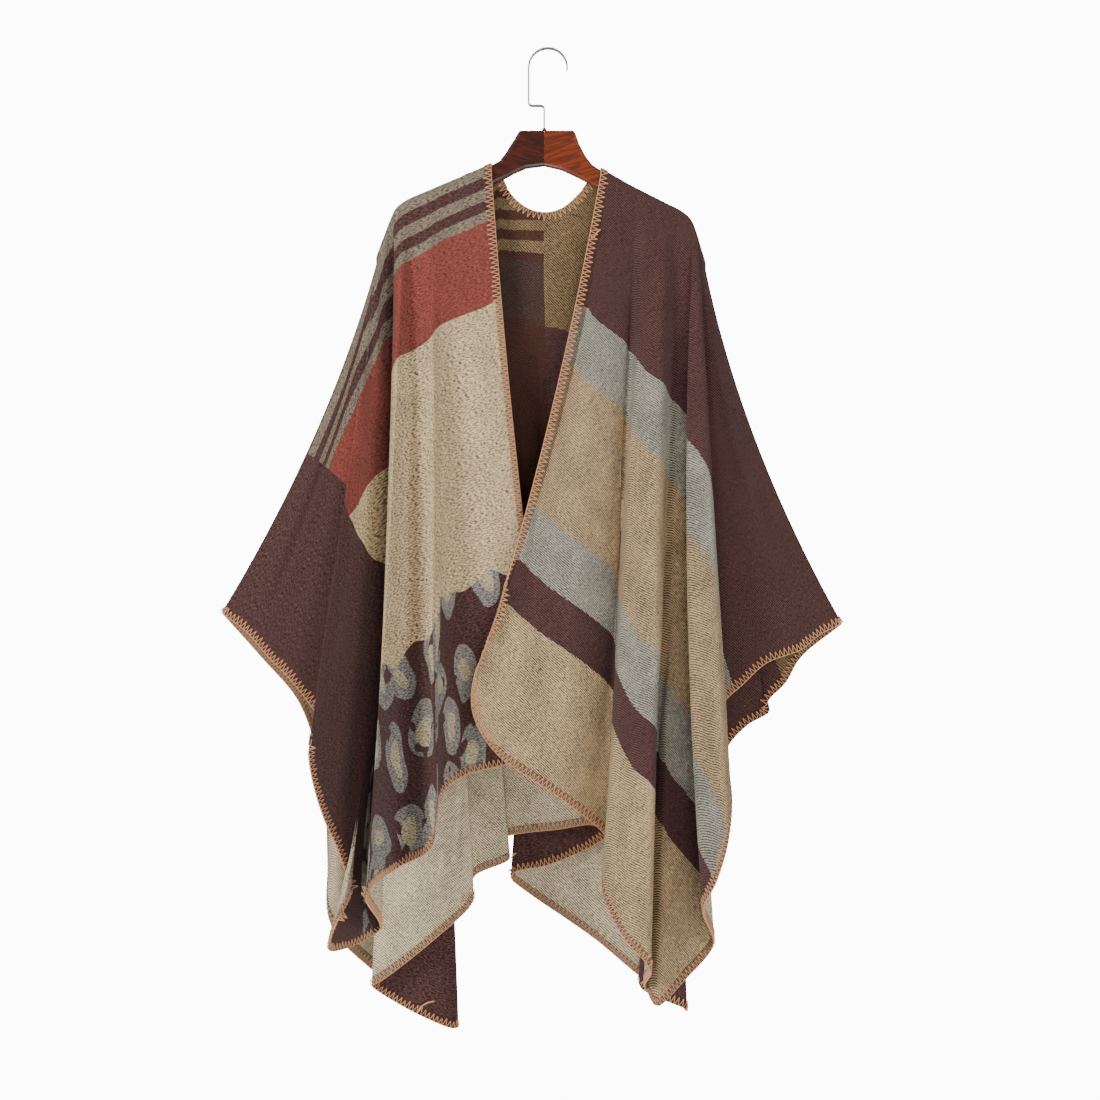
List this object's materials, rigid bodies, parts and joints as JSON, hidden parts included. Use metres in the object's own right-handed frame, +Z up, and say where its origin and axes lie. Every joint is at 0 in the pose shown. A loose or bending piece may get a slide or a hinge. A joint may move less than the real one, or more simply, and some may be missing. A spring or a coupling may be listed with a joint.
{
  "type": "open-front poncho wrap on a wooden coat hanger",
  "caption": "Open-front poncho wrap of double-faced brushed cloth with a scooped neck and pointed hems, hung on a flat-hooked wooden coat hanger.",
  "frame": {"origin": "inside top of the hook, where a rail carries it", "axes": "+Z up, -Y out of the wrap's open front, +X to the viewer's right"},
  "size_m": [0.788, 0.272, 1.2547],
  "materials": {
    "cloth_left_front": "brushed, matte",
    "cloth_right_front": "brushed twill, matte",
    "cloth_back": "brushed, matte",
    "edge_yarn": "wool yarn, matte",
    "wood_dark": "gloss lacquer",
    "wood_red": "gloss lacquer",
    "steel_hook": "satin",
    "steel_dark": "dark, satin"
  },
  "bodies": {
    "root": {"poncho_left_front": "cloth_left_front", "poncho_right_front": "cloth_right_front", "poncho_back": "cloth_back", "hanger_left_half": "wood_dark", "hanger_right_half": "wood_red", "hanger_hook": "steel_hook", "hook_collar": "steel_dark"}
  },
  "joints": []
}
